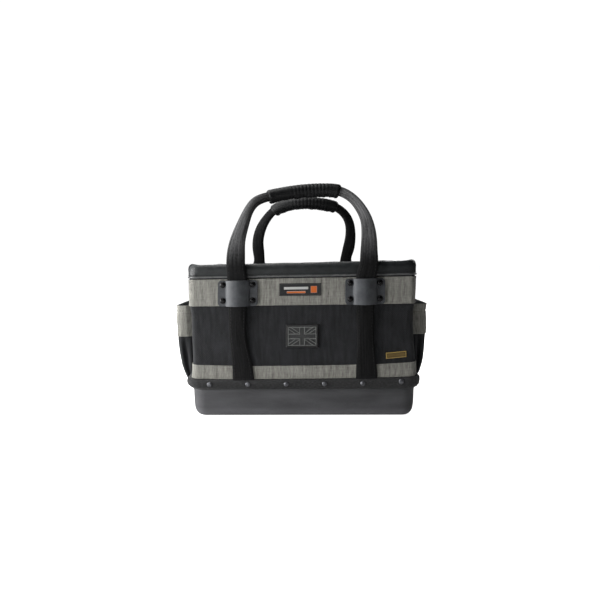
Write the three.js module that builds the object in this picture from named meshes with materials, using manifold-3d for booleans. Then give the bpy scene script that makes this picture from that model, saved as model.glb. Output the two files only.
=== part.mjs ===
// Open-top work bag: a moulded tray, sewn fabric walls with canvas bands, a padded rim binding,
// two webbing handles held by riveted saddle brackets, and a patch pocket on each end.
// Units are millimetres. +Z is up, the front faces -Y, and the origin is the middle of the tray's underside.
import * as THREE from "three";
import { mergeVertices } from "three/addons/utils/BufferGeometryUtils.js";
import Module from "manifold-3d";

const wasm = await Module();
wasm.setup();

// Driving dimensions
const GAP = 0.3;
const BODY_WIDTH = 411;
const BODY_DEPTH = 232;
const WALL = 3;
const BAND_THICK = 1.2;
const STRIP_THICK = 3.2;
const TRAY_WALL = 3.5;

// Heights of the layers, from the floor up
const STRIP_BOTTOM = 53;
const STRIP_TOP = 70.5;
const FLARE_TOP = 76;
const LOWER_BAND_TOP = 95.5;
const UPPER_BAND_BOTTOM = 197.5;
const UPPER_BAND_TOP = 248;
const WELT_RADIUS = 1.4;
const WELT_MIDDLE = UPPER_BAND_TOP + GAP + WELT_RADIUS;
const BINDING_BOTTOM = WELT_MIDDLE + WELT_RADIUS + GAP;
const WALL_TOP = 266;
const RIM_TOP = 274.5;

// Handle hardware
const BRACKET_X = 111;
const BRACKET = { width: 71, height: 47, corner: 6, middle: 221.5, plate: 2.5 };
const HUMP = { half: 20.8, rise: 10.2, power: 2.3, boreHalf: 17.2, boreRise: 10.1, borePower: 4 };
const BRACKET_RIVET = { acrossX: 26.3, acrossZ: 14, head: 5, rise: 3.2, shank: 2.2 };
const BASE_RIVET = { pitch: 67, middle: 5, z: 61.6, head: 3.9, rise: 2, shank: 1.6 };
const BASE_RIVET_COUNT = 6;
const RIVET_SIDES = 8;

// Resolution of round stretches
const CORNER_STEPS = 4;
const FRONT_STEPS = 5;
const END_STEPS = 3;

// The body's outer outline at each height: half sizes are taken in from the driving sizes. The walls flare
// at the foot and tuck in under it round the tray. Their corners are tight in the cloth and wider at the rim.
// bow is how far the long sides stand out.
const BODY_LEVELS = [
  { z: STRIP_BOTTOM, widthIn: -0.5, depthIn: 1, corner: 31, bow: 0 },
  { z: 60, widthIn: -3, depthIn: 0, corner: 33, bow: 0 },
  { z: STRIP_TOP, widthIn: -1.5, depthIn: -0.5, corner: 30, bow: 0 },
  { z: FLARE_TOP, widthIn: 4.5, depthIn: 0, corner: 16, bow: 0.4 },
  { z: 150, widthIn: 10, depthIn: 0, corner: 10, bow: 3 },
  { z: UPPER_BAND_BOTTOM, widthIn: 9, depthIn: 0, corner: 10, bow: 0 },
  { z: UPPER_BAND_TOP, widthIn: 4.5, depthIn: 0, corner: 13, bow: 0 },
  { z: RIM_TOP, widthIn: 0, depthIn: 0, corner: 24, bow: 0 },
].map(({ z, widthIn, depthIn, corner, bow }) => ({
  z,
  halfWidth: BODY_WIDTH / 2 - widthIn,
  halfDepth: BODY_DEPTH / 2 - depthIn,
  corner,
  bow,
}));
const WALL_ROWS = [...BODY_LEVELS.slice(0, -1).map(({ z }) => z), WALL_TOP];

// The tray's outside, rising from the sole: how far each row is taken in from its outline under the strip.
// Behind the strip its upright edge flares with the walls.
const TRAY_ROWS = [
  { z: 0, in: 12.5 },
  { z: 1.4, in: 12 },
  { z: 1.6, in: 6.4 },
  { z: 4, in: 3.4 },
  { z: 8, in: 1.2 },
  { z: 14, in: 0.4 },
  { z: STRIP_BOTTOM, in: 0 },
  { z: 60, in: -0.8 },
  { z: STRIP_TOP, in: -0.8 },
];
const TRAY_FLOOR = 4.5;

// Cross-section of the rim binding: a padded roll folded over the wall's top edge.
const BINDING_SECTION = [
  { out: 2.6, z: BINDING_BOTTOM },
  { out: 3.5, z: 258 },
  { out: 3.4, z: 266 },
  { out: 1.6, z: 272.5 },
  { out: -2.4, z: RIM_TOP },
  { out: -6.4, z: 272.5 },
  { out: -9, z: 265 },
  { out: -8.4, z: 257 },
  { out: -5.6, z: BINDING_BOTTOM },
  { out: -WALL - GAP, z: BINDING_BOTTOM },
  { out: -WALL - GAP, z: WALL_TOP + GAP },
  { out: GAP, z: WALL_TOP + GAP },
  { out: GAP, z: BINDING_BOTTOM },
];

// Pocket on each end: how far it stands out of the wall and half its width, from its foot to its mouth.
// pleat is the depth of the two folds low in each gusset, with a ridge between them.
const POCKET_LEVELS = [
  { z: 72.2, stands: 8, half: 77, corner: 5, bow: 0, pleat: 0 },
  { z: 75, stands: 14.5, half: 77.5, corner: 7, bow: 0, pleat: 1 },
  { z: 80, stands: 19, half: 78, corner: 9, bow: 0.5, pleat: 3 },
  { z: 100, stands: 26, half: 80, corner: 11, bow: 1.5, pleat: 6 },
  { z: 135, stands: 32.4, half: 83, corner: 12, bow: 2.5, pleat: 1.5 },
  { z: 150, stands: 33.5, half: 84, corner: 13, bow: 2.5, pleat: 0 },
  { z: 195, stands: 33.2, half: 86, corner: 13, bow: 2, pleat: 0 },
];
const POCKET_WALL = 2;
const POCKET_BAND = { bottom: 138, top: 194 };

// A handle's leg from its foot at the base strip up to the rim. out is from the wall to the strap's middle.
// swing is the share of the way from above the bracket to where the arch starts.
const LEG = [
  { z: STRIP_TOP + 1, swing: 0, out: 3.4, wide: 38, thick: 2.6 },
  { z: 97, swing: 0, out: 3.6, wide: 37.5, thick: 2.9 },
  { z: 150, swing: 0, out: 4.4, wide: 35, thick: 4.4 },
  { z: 197, swing: 0, out: 5.3, wide: 31, thick: 6.2 },
  { z: 222, swing: 0, out: 5.8, wide: 31, thick: 7.2 },
  { z: 240, swing: 0, out: 6.4, wide: 30.4, thick: 7.2 },
  { z: 250, swing: 0.2, out: 7.6, wide: 30.4, thick: 7.4 },
  { z: 264, swing: 0.8, out: 9, wide: 31, thick: 8.4 },
];
const LEG_BRACKET_Z = 222;

// Each handle's arch above the rim, from left to right. The strap rolls up from flat to round on its way.
const FRONT_ARCH = [
  { x: -115.5, z: 288, out: 8, wide: 30, thick: 9 },
  { x: -115, z: 312, out: -5, wide: 27, thick: 10 },
  { x: -111, z: 344, out: -25, wide: 22, thick: 12.5 },
  { x: -102, z: 373, out: -45, wide: 18, thick: 14.5 },
  { x: -87, z: 390, out: -59, wide: 18, thick: 15 },
  { x: -67, z: 400, out: -66, wide: 18, thick: 15 },
  { x: -32, z: 408, out: -70.5, wide: 18, thick: 15 },
  { x: 10, z: 412.5, out: -73, wide: 18, thick: 15 },
  { x: 46, z: 413.5, out: -73, wide: 18, thick: 15 },
  { x: 76, z: 410.5, out: -71.5, wide: 18, thick: 15 },
  { x: 98, z: 400, out: -66, wide: 18.5, thick: 15 },
  { x: 111, z: 381, out: -54, wide: 20, thick: 14 },
  { x: 118, z: 358, out: -39, wide: 22, thick: 12.5 },
  { x: 120, z: 332, out: -20, wide: 26, thick: 10.5 },
  { x: 117.5, z: 303, out: -1, wide: 29, thick: 9.2 },
  { x: 115.5, z: 286, out: 8.5, wide: 30.5, thick: 9 },
];
const BACK_ARCH = [
  { x: -105.5, z: 288, out: 8.5, wide: 28, thick: 9 },
  { x: -105.5, z: 320, out: -6, wide: 25, thick: 10 },
  { x: -98, z: 350, out: -24, wide: 21, thick: 12 },
  { x: -83, z: 372, out: -46, wide: 18, thick: 14.5 },
  { x: -64, z: 388, out: -59, wide: 18, thick: 15 },
  { x: -30, z: 398, out: -68, wide: 18, thick: 15 },
  { x: 8, z: 401.5, out: -72, wide: 18, thick: 15 },
  { x: 45, z: 399.5, out: -69, wide: 18, thick: 15 },
  { x: 77, z: 392, out: -63, wide: 18, thick: 15 },
  { x: 100, z: 374, out: -48, wide: 18.5, thick: 14.5 },
  { x: 111.5, z: 350, out: -26, wide: 21, thick: 12 },
  { x: 112.5, z: 321, out: -6, wide: 25, thick: 10 },
  { x: 108, z: 290, out: 7.5, wide: 28, thick: 9 },
];
const FRONT_FEET = { left: -103, right: 112 };
const BACK_FEET = { left: -BRACKET_X, right: BRACKET_X };

// Grip sleeve round the top of each arch, from one row of the arch to another by their X.
const GRIP_WALL = 3.8;
const FRONT_GRIP = { from: -67, to: 76 };
const BACK_GRIP = { from: -64, to: 77 };

// Plates on the front panel. The patch has a raised cross and saltire inside a raised frame.
const NAME_LABEL = { x: -3, z: 226.5, width: 71, height: 22, thick: 1.2 };
const SMALL_TAG = { x: 164.5, z: 111, width: 36, height: 12.6, thick: 0.8 };
const PATCH = { x: 1, z: 145.5, width: 53, height: 36, thick: 2, clear: 0.9 };
const RELIEF = { rise: 0.8, frame: 1.6, upright: 7, cross: 7, diagonal: 3.4 };

const MATERIALS = {
  tray: { color: 0x4d4d4f, roughness: 0.6 },
  ballistic: { color: 0x2a2b2e, roughness: 0.85 },
  canvas: { color: 0x85867f, roughness: 0.9 },
  webbing: { color: 0x2b2b2d, roughness: 0.8 },
  binding: { color: 0x3a3c3d, roughness: 0.5 },
  bracket: { color: 0x4a4c4f, roughness: 0.45 },
  blackRivet: { color: 0x1a1a1c, roughness: 0.35 },
  greyRivet: { color: 0x737476, roughness: 0.4, metalness: 0.8 },
  label: { color: 0x2b2c29, roughness: 0.7 },
  tag: { color: 0x8a7433, roughness: 0.6 },
  patch: { color: 0x3b3c3b, roughness: 0.6 },
};
for (const name of Object.keys(MATERIALS)) {
  MATERIALS[name] = new THREE.MeshStandardMaterial(MATERIALS[name]);
}

const part = new THREE.Group();

function add(name, material, geometry) {
  const mesh = new THREE.Mesh(geometry, MATERIALS[material]);
  mesh.name = name;
  part.add(mesh);
  return mesh;
}

// The row of a table of heights at z, in straight lines between its rows.
function rowAt(table, z) {
  const top = Math.max(1, table.findIndex((row) => row.z >= z));
  const above = z > table.at(-1).z ? table.at(-1) : table[top];
  const below = table[table.indexOf(above) - 1];
  const share = THREE.MathUtils.clamp((z - below.z) / (above.z - below.z), 0, 1);
  const blend = (key) => THREE.MathUtils.lerp(below[key], above[key], share);
  return Object.fromEntries(Object.keys(below).map((key) => [key, blend(key)]));
}

// Turns a geometry the right way out: its volume, summed over its triangles, has to be positive.
function facingOut(geometry) {
  const [a, b, c] = [0, 1, 2].map(() => new THREE.Vector3());
  const { index, attributes } = geometry;
  let volume = 0;
  for (let i = 0; i < index.count; i += 3) {
    a.fromBufferAttribute(attributes.position, index.getX(i));
    b.fromBufferAttribute(attributes.position, index.getX(i + 1));
    c.fromBufferAttribute(attributes.position, index.getX(i + 2));
    volume += a.dot(b.cross(c));
  }
  if (volume < 0) index.array.reverse();
  return geometry;
}

// Joins rings of points, each with one point for each corner of the section.
// A looped run meets its own start. Otherwise the section closes both ends.
function loft(rings, section, looped = false) {
  const size = rings[0].length;
  const spans = looped ? rings.length : rings.length - 1;
  const index = [];
  for (let i = 0; i < spans; i++) {
    for (let j = 0; j < size; j++) {
      const next = (j + 1) % size;
      const [here, there] = [i * size, ((i + 1) % rings.length) * size];
      const [a, b, c, d] = [here + j, here + next, there + j, there + next];
      const rising = rings[i][next].z > rings[i][j].z;
      index.push(...(rising ? [a, c, b, b, c, d] : [a, c, d, a, d, b]));
    }
  }
  if (!looped) {
    const end = spans * size;
    const flat = section.map(([u, v]) => new THREE.Vector2(u, v));
    const clockwise = THREE.ShapeUtils.isClockWise(flat);
    for (const [a, b, c] of THREE.ShapeUtils.triangulateShape(flat, [])) {
      const [first, last] = clockwise ? [c, a] : [a, c];
      index.push(first, b, last, end + last, end + b, end + first);
    }
  }
  const geometry = new THREE.BufferGeometry();
  const numbers = rings.flat().flatMap((point) => point.toArray());
  geometry.setAttribute("position", new THREE.Float32BufferAttribute(numbers, 3));
  geometry.setIndex(index);
  return facingOut(geometry);
}

// A solid for cutting and joining, and back to a geometry.
function solidOf(geometry) {
  const bare = geometry.clone().deleteAttribute("normal").deleteAttribute("uv");
  const merged = mergeVertices(bare, 1e-4);
  const vertProperties = merged.attributes.position.array;
  const triVerts = new Uint32Array(merged.index.array);
  return new wasm.Manifold(new wasm.Mesh({ numProp: 3, vertProperties, triVerts }));
}

function geometryOf(solid) {
  const { vertProperties, triVerts } = solid.getMesh();
  const geometry = new THREE.BufferGeometry();
  geometry.setAttribute("position", new THREE.BufferAttribute(vertProperties, 3));
  return geometry.setIndex(new THREE.BufferAttribute(triVerts, 1));
}

// A plate standing on the XZ plane, its thickness towards -Y.
function standingPlate(shape, thick) {
  const options = { depth: thick, bevelEnabled: false, curveSegments: 3 };
  return new THREE.ExtrudeGeometry(shape, options).rotateX(Math.PI / 2);
}

function roundedRectangle(width, height, corner) {
  const [x, y] = [width / 2, height / 2];
  const shape = new THREE.Shape();
  shape.moveTo(-x + corner, -y);
  shape.lineTo(x - corner, -y).absarc(x - corner, -y + corner, corner, -Math.PI / 2, 0);
  shape.lineTo(x, y - corner).absarc(x - corner, y - corner, corner, 0, Math.PI / 2);
  shape.lineTo(-x + corner, y).absarc(-x + corner, y - corner, corner, Math.PI / 2, Math.PI);
  shape.lineTo(-x, -y + corner).absarc(-x + corner, -y + corner, corner, Math.PI, 1.5 * Math.PI);
  return shape;
}

// A column is one place on an outline seen from above. Given the outline's sizes it returns the point there
// and the direction that faces out of it.
const cornerColumn = (sideX, sideY, angle) => ({ halfWidth, halfDepth, corner }) => ({
  x: sideX * (halfWidth - corner) + corner * Math.cos(angle),
  y: sideY * (halfDepth - corner) + corner * Math.sin(angle),
  nx: Math.cos(angle),
  ny: Math.sin(angle),
});

const faceColumn = (sideY, share) => ({ halfWidth, halfDepth, corner, bow }) => ({
  x: share * (halfWidth - corner),
  y: sideY * (halfDepth + bow * (1 - share ** 2)),
  nx: 0,
  ny: sideY,
});

const endColumn = (sideX, share) => ({ halfWidth, halfDepth, corner }) => ({
  x: sideX * halfWidth,
  y: share * (halfDepth - corner),
  nx: sideX,
  ny: 0,
});

// A place on the front by its X, on the straight stretch or on the corner beyond it.
const frontColumn = (x) => (outline) => {
  const straight = outline.halfWidth - outline.corner;
  const past = Math.abs(x) - straight;
  if (past <= 0) return faceColumn(-1, x / straight)(outline);
  const turn = Math.asin(past / outline.corner);
  return cornerColumn(Math.sign(x), -1, -Math.PI / 2 + Math.sign(x) * turn)(outline);
};

const steps = (count, from, to) =>
  Array.from({ length: count + 1 }, (_, i) => from + ((to - from) * i) / count);

const cornerColumns = (sideX, sideY, startAngle) =>
  steps(CORNER_STEPS, startAngle, startAngle + Math.PI / 2).map((angle) => cornerColumn(sideX, sideY, angle));

const inside = (list) => list.slice(1, -1);

// The front run goes from one end face round both front corners to the other, and the back run likewise.
const FRONT_RUN = [
  ...cornerColumns(-1, -1, Math.PI),
  ...inside(steps(FRONT_STEPS, -1, 1)).map((share) => faceColumn(-1, share)),
  ...cornerColumns(1, -1, 1.5 * Math.PI),
];
const BACK_RUN = [
  ...cornerColumns(1, 1, 0),
  ...inside(steps(FRONT_STEPS, 1, -1)).map((share) => faceColumn(1, share)),
  ...cornerColumns(-1, 1, 0.5 * Math.PI),
];
const endRun = (sideX, reach) =>
  steps(END_STEPS, -sideX * reach, sideX * reach).map((share) => endColumn(sideX, share));
const WHOLE_RING = [...FRONT_RUN, ...inside(endRun(1, 1)), ...BACK_RUN, ...inside(endRun(-1, 1))];

function placed(column, outline, out, z) {
  const { x, y, nx, ny } = column(outline);
  return new THREE.Vector3(x + nx * out, y + ny * out, z);
}

// Carries a section of out and z along a run of columns on a wall whose outline changes with height.
function skin(columns, levels, section, looped = false) {
  const rings = columns.map((column) =>
    section.map(({ out, z }) => placed(column, rowAt(levels, z), out, z)),
  );
  const { nx, ny } = columns[0](levels[0]);
  return loft(rings, rings[0].map(({ x, y, z }) => [x * nx + y * ny, z]), looped);
}

// The section of a flat layer: up its outer face and down its inner one, with a point at each height.
const layer = (inner, outer, heights) => [
  ...heights.map((z) => ({ out: outer, z })),
  ...[...heights].reverse().map((z) => ({ out: inner, z })),
];

// Moulded tray with a flat sole, a rounded lower edge and an open top.
function buildTray() {
  const { halfWidth, halfDepth, corner } = rowAt(BODY_LEVELS, STRIP_BOTTOM);
  const taken = WALL + GAP;
  const outline = {
    halfWidth: halfWidth - taken,
    halfDepth: halfDepth - taken,
    corner: corner - taken,
    bow: 0,
  };
  const inner = TRAY_ROWS.filter(({ z }) => z > TRAY_FLOOR).reverse();
  const floor = rowAt(TRAY_ROWS, TRAY_FLOOR);
  const rows = [
    ...TRAY_ROWS,
    ...inner.map((row) => ({ z: row.z, in: row.in + TRAY_WALL })),
    { z: TRAY_FLOOR, in: floor.in + TRAY_WALL },
  ];
  const rings = rows.map((row) => WHOLE_RING.map((column) => placed(column, outline, -row.in, row.z)));
  add("base_tray", "tray", loft(rings, rings[0].map(({ x, y }) => [x, y])));
}

// Four fabric walls, sewn along the line where each end face meets its corners.
function buildPanels() {
  const { halfDepth, corner } = rowAt(BODY_LEVELS, STRIP_BOTTOM);
  const reach = 1 - GAP / (halfDepth - corner);
  const section = layer(-WALL, 0, WALL_ROWS);
  add("front_panel", "ballistic", skin(FRONT_RUN, BODY_LEVELS, section));
  add("back_panel", "ballistic", skin(BACK_RUN, BODY_LEVELS, section));
  add("end_panel_left", "ballistic", skin(endRun(-1, reach), BODY_LEVELS, section));
  add("end_panel_right", "ballistic", skin(endRun(1, reach), BODY_LEVELS, section));
}

// Canvas bands lie flat on the walls: one right round under the rim, and one low on the front and the back.
function buildBands() {
  const bandSection = (clear, heights) => layer(clear, clear + BAND_THICK, heights);
  const upper = bandSection(GAP, [UPPER_BAND_BOTTOM, UPPER_BAND_TOP]);
  const lower = bandSection(1.5 * GAP, [STRIP_TOP + GAP, FLARE_TOP, LOWER_BAND_TOP]);
  add("upper_band", "canvas", skin(WHOLE_RING, BODY_LEVELS, upper, true));
  add("lower_band_front", "canvas", skin(FRONT_RUN, BODY_LEVELS, lower));
  add("lower_band_back", "canvas", skin(BACK_RUN, BODY_LEVELS, lower));
}

// Padded binding over the top edge, with a round welt sewn along its lower hem.
function buildRim() {
  add("rim_binding", "binding", skin(WHOLE_RING, BODY_LEVELS, BINDING_SECTION, true));
  const weltSection = steps(5, 0, 2 * Math.PI).slice(0, -1).map((angle) => ({
    out: 2 * GAP + WELT_RADIUS * (1 + Math.cos(angle)),
    z: WELT_MIDDLE + WELT_RADIUS * Math.sin(angle),
  }));
  add("rim_welt", "binding", skin(WHOLE_RING, BODY_LEVELS, weltSection, true));
}

// A domed rivet: a head with a shank behind it that reaches back along +Y.
function rivetGeometry({ head, rise, shank }, reach) {
  const profile = [
    [0, -reach],
    [shank, -reach],
    [shank, 0],
    [head, 0],
    [head * 0.78, rise * 0.68],
    [0, rise],
  ];
  const points = profile.map(([radius, along]) => new THREE.Vector2(radius, along));
  return new THREE.LatheGeometry(points, RIVET_SIDES).rotateX(Math.PI);
}

// The hole that a rivet's shank passes through, with clearance all round.
function shankHole({ shank }, depth) {
  return new THREE.CylinderGeometry(shank + GAP, shank + GAP, depth, RIVET_SIDES);
}

// Doubled webbing strip round the foot of the walls, riveted to the tray on the front and the back.
// Its lower edge is drawn in under the walls.
function buildBaseStrip() {
  const outer = GAP + STRIP_THICK;
  const section = [
    { out: GAP + 1.6, z: STRIP_BOTTOM },
    { out: outer, z: 60 },
    { out: outer, z: STRIP_TOP - 2 },
    { out: outer - 0.6, z: STRIP_TOP },
    { out: GAP, z: STRIP_TOP },
    { out: GAP, z: 60 },
    { out: GAP, z: STRIP_BOTTOM },
  ];
  let strip = solidOf(skin(WHOLE_RING, BODY_LEVELS, section, true));
  const face = rowAt(BODY_LEVELS, BASE_RIVET.z).halfDepth + outer;
  for (const [side, facing] of [["front", -1], ["back", 1]]) {
    for (let i = 0; i < BASE_RIVET_COUNT; i++) {
      const x = BASE_RIVET.middle + (i - (BASE_RIVET_COUNT - 1) / 2) * BASE_RIVET.pitch;
      const hole = shankHole(BASE_RIVET, 4 * STRIP_THICK).translate(x, facing * face, BASE_RIVET.z);
      strip = strip.subtract(solidOf(hole));
      const rivet = add(`base_rivet_${side}_${i + 1}`, "greyRivet", rivetGeometry(BASE_RIVET, STRIP_THICK));
      rivet.position.set(x, facing * (face + GAP), BASE_RIVET.z);
      rivet.rotation.z = facing > 0 ? Math.PI : 0;
    }
  }
  add("base_strip", "webbing", geometryOf(strip));
}

// Section of a strap: a flat oblong with eased edges, as shares of half its width and half its thickness.
const STRAP_SECTION = [
  [1, -0.4], [1, 0.4], [0.8, 1], [-0.8, 1], [-1, 0.4], [-1, -0.4], [-0.8, -1], [0.8, -1],
];
const ROUND_SECTION = steps(10, 0, 2 * Math.PI)
  .slice(0, -1)
  .map((angle) => [Math.cos(angle), Math.sin(angle)]);

// All rows of a handle, foot to foot. The legs lie on the wall, and the arch stands free above the rim.
function handleRows(arch, feet) {
  const legRows = (footX, sideX, archX) =>
    LEG.map(({ z, swing, ...row }) => {
      const rise = THREE.MathUtils.smoothstep(z, LEG[0].z, LEG_BRACKET_Z);
      const onWall = THREE.MathUtils.lerp(footX, sideX * BRACKET_X, rise);
      return { ...row, z, x: THREE.MathUtils.lerp(onWall, archX, swing) };
    });
  const left = legRows(feet.left, -1, arch[0].x);
  const right = legRows(feet.right, 1, arch.at(-1).x).reverse();
  return [...left, ...arch, ...right];
}

// A handle's path: a smooth curve through its rows. At any share of the way it gives the strap's middle,
// the way it faces, the way across it, and its size.
// facing is -1 for the front handle and 1 for the back one.
function handlePath(rows, facing) {
  const points = rows.map(({ x, z, out }) => {
    const wall = placed(frontColumn(x), rowAt(BODY_LEVELS, z), out, z);
    return new THREE.Vector3(wall.x, -facing * wall.y, z);
  });
  const curve = new THREE.CatmullRomCurve3(points, false, "centripetal");
  return (share) => {
    const along = share * (rows.length - 1);
    const [low, high] = [rows[Math.floor(along)], rows[Math.ceil(along)]];
    const blend = (key) => THREE.MathUtils.lerp(low[key], high[key], along % 1);
    const tangent = curve.getTangent(share);
    const face = new THREE.Vector3(0, facing, 0);
    face.addScaledVector(tangent, -face.dot(tangent)).normalize();
    const across = new THREE.Vector3().crossVectors(tangent, face);
    return { middle: curve.getPoint(share), face, across, wide: blend("wide"), thick: blend("thick") };
  };
}

// One ring of a strap or sleeve at a place on a handle's path, grown by some amount all round.
function strapRing(place, section, grown) {
  return section.map(([u, v]) =>
    place.middle
      .clone()
      .addScaledVector(place.across, u * (place.wide / 2 + grown))
      .addScaledVector(place.face, v * (place.thick / 2 + grown)),
  );
}

function buildHandle(side, facing, arch, feet, grip) {
  const rows = handleRows(arch, feet);
  const at = handlePath(rows, facing);
  const step = 0.5 / (rows.length - 1);
  const halves = rows.flatMap(({ z }, i) => (z > RIM_TOP ? [2 * i, 2 * i + 1] : [2 * i]));
  const shares = halves.map((half) => half * step);
  const straps = shares.map((share) => strapRing(at(share), STRAP_SECTION, 0));
  add(`handle_${side}`, "webbing", loft(straps, STRAP_SECTION));

  // The sleeve's bore follows the strap inside it with a small clearance.
  const rowShare = (x) => rows.findIndex((row) => row.z > RIM_TOP && row.x === x) / (rows.length - 1);
  const [from, to] = [rowShare(grip.from), rowShare(grip.to)];
  const covered = shares.filter((share) => share > from - 1e-6 && share < to + 1e-6);
  const sleeve = covered.map((share) => strapRing(at(share), ROUND_SECTION, GRIP_WALL));
  const bored = [from - step, ...covered, to + step];
  const bore = bored.map((share) => strapRing(at(share), STRAP_SECTION, GAP));
  const open = solidOf(loft(sleeve, ROUND_SECTION)).subtract(solidOf(loft(bore, STRAP_SECTION)));
  add(`grip_${side}`, "binding", geometryOf(open));
}

// Half of a rounded oblong from +1 to -1: cosine and sine raised to 2 over the power.
const halfOval = (power, count) =>
  steps(count, 0, Math.PI).map((angle) => {
    const [c, s] = [Math.cos(angle), Math.max(0, Math.sin(angle))];
    return [Math.sign(c) * Math.abs(c) ** (2 / power), s ** (2 / power)];
  });

// Saddle bracket: two flat flanges joined by a rounded hump that the strap passes under.
function buildBrackets() {
  const { width, height, corner, middle, plate } = BRACKET;
  const seat = 2 * GAP + BAND_THICK;
  const top = seat + plate + HUMP.rise;
  const over = halfOval(HUMP.power, 10).map(([u, v]) => [u * HUMP.half, -seat - plate - v * HUMP.rise]);
  const under = halfOval(HUMP.borePower, 8).map(([u, v]) => [-u * HUMP.boreHalf, -seat - v * HUMP.boreRise]);
  const corners = [
    [-width / 2, -seat],
    ...under,
    [width / 2, -seat],
    [width / 2, -seat - plate],
    ...over,
    [-width / 2, -seat - plate],
  ];
  const outline = new THREE.Shape(corners.map(([x, y]) => new THREE.Vector2(x, y)));
  const bar = new THREE.ExtrudeGeometry(outline, { depth: height, bevelEnabled: false });
  const face = standingPlate(roundedRectangle(width, height, corner), 2 * top);
  let saddle = solidOf(bar.translate(0, 0, -height / 2)).intersect(solidOf(face));
  const { acrossX, acrossZ } = BRACKET_RIVET;
  const places = [[-acrossX, acrossZ], [acrossX, acrossZ], [-acrossX, -acrossZ], [acrossX, -acrossZ]];
  for (const [x, z] of places) {
    saddle = saddle.subtract(solidOf(shankHole(BRACKET_RIVET, 6 * plate).translate(x, -seat, z)));
  }
  for (const [side, facing] of [["front", -1], ["back", 1]]) {
    for (const [hand, sideX] of [["left", -1], ["right", 1]]) {
      const holder = new THREE.Group();
      holder.position.set(sideX * BRACKET_X, (facing * BODY_DEPTH) / 2, middle);
      holder.rotation.z = facing > 0 ? Math.PI : 0;
      part.add(holder);
      holder.add(add(`bracket_${side}_${hand}`, "bracket", geometryOf(saddle)));
      places.forEach(([x, z], i) => {
        const head = rivetGeometry(BRACKET_RIVET, plate);
        const rivet = add(`bracket_rivet_${side}_${hand}_${i + 1}`, "blackRivet", head);
        rivet.position.set(x, -seat - plate - GAP, z);
        holder.add(rivet);
      });
    }
  }
}

// A patch pocket on each end: a U of fabric seen from above, drawn in to the wall at its foot.
function buildPockets() {
  const levels = POCKET_LEVELS.map((row) => ({ ...row, wall: rowAt(BODY_LEVELS, row.z).halfWidth + GAP }));
  const bend = (sideX, sideY, turn) => ({ wall, stands, half, corner }) => ({
    x: sideX * (wall + stands - corner + corner * Math.cos(turn)),
    y: sideY * (half - corner + corner * Math.sin(turn)),
    nx: sideX * Math.cos(turn),
    ny: sideY * Math.sin(turn),
  });
  const edge = (sideX, sideY) => ({ wall, half }) => ({ x: sideX * wall, y: sideY * half, nx: 0, ny: sideY });
  const fold = (sideX, sideY, share, depth) => ({ wall, stands, half, corner, pleat }) => ({
    x: sideX * (wall + share * (stands - corner)),
    y: sideY * (half - depth * pleat),
    nx: 0,
    ny: sideY,
  });
  const outside = (sideX, share) => ({ wall, stands, half, corner, bow }) => ({
    x: sideX * (wall + stands + bow * (1 - share ** 2)),
    y: share * (half - corner),
    nx: sideX,
    ny: 0,
  });
  const folds = [
    { share: 0.2, depth: 0.8 },
    { share: 0.5, depth: 0.2 },
    { share: 0.8, depth: 1 },
  ];
  for (const [hand, sideX] of [["left", -1], ["right", 1]]) {
    const turns = steps(CORNER_STEPS, 0, Math.PI / 2);
    const columns = [
      edge(sideX, -1),
      ...folds.map(({ share, depth }) => fold(sideX, -1, share, depth)),
      ...[...turns].reverse().map((turn) => bend(sideX, -1, turn)),
      ...inside(steps(END_STEPS, -1, 1)).map((share) => outside(sideX, share)),
      ...turns.map((turn) => bend(sideX, 1, turn)),
      ...[...folds].reverse().map(({ share, depth }) => fold(sideX, 1, share, depth)),
      edge(sideX, 1),
    ];
    const shell = layer(-POCKET_WALL, 0, levels.map(({ z }) => z));
    add(`pocket_${hand}`, "ballistic", skin(columns, levels, shell));
    const band = layer(GAP, GAP + BAND_THICK, [POCKET_BAND.bottom, 150, POCKET_BAND.top]);
    add(`pocket_band_${hand}`, "canvas", skin(columns, levels, band));
  }
}

// Plates sewn or riveted to the front: a name label, a small tag, and a cast patch.
function buildPlates() {
  const plate = ({ x, z, width, height, thick }, clear) =>
    skin(
      steps(4, x - width / 2, x + width / 2).map(frontColumn),
      BODY_LEVELS,
      layer(clear, clear + thick, [z - height / 2, z + height / 2]),
    );
  add("name_label", "label", plate(NAME_LABEL, 2 * GAP + BAND_THICK));
  add("small_tag", "tag", plate(SMALL_TAG, 2 * GAP));

  const { x, z, width, height, thick, clear } = PATCH;
  const { rise, frame, upright, cross, diagonal } = RELIEF;
  const raised = thick + rise;
  let patch = solidOf(standingPlate(roundedRectangle(width, height, 2), thick));
  const bar = (long, tall, turn = 0) =>
    solidOf(new THREE.BoxGeometry(long, raised, tall).translate(0, -raised / 2, 0).rotateY(turn));
  const rim = bar(width - 2, height - 2).subtract(
    bar(width - 2 - 2 * frame, height - 2 - 2 * frame),
  );
  const slope = Math.atan2(height, width);
  const reach = Math.hypot(width, height) - 12;
  patch = patch.add(rim).add(bar(upright, height - 2)).add(bar(width - 2, cross));
  patch = patch.add(bar(reach, diagonal, slope)).add(bar(reach, diagonal, -slope));
  const mesh = add("flag_patch", "patch", geometryOf(patch));
  mesh.position.copy(placed(frontColumn(x), rowAt(BODY_LEVELS, z), clear, z));
}

buildTray();
buildPanels();
buildBands();
buildBaseStrip();
buildRim();
buildHandle("front", -1, FRONT_ARCH, FRONT_FEET, FRONT_GRIP);
buildHandle("back", 1, BACK_ARCH, BACK_FEET, BACK_GRIP);
buildBrackets();
buildPockets();
buildPlates();

export default part;
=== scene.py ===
"""Dresses the work bag: sewn cloth, webbing, padded binding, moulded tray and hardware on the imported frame.

Sizes are in millimetres until a mesh is made. The front faces -Y, +Z is up, and the origin is under the tray.
"""
import math

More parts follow.
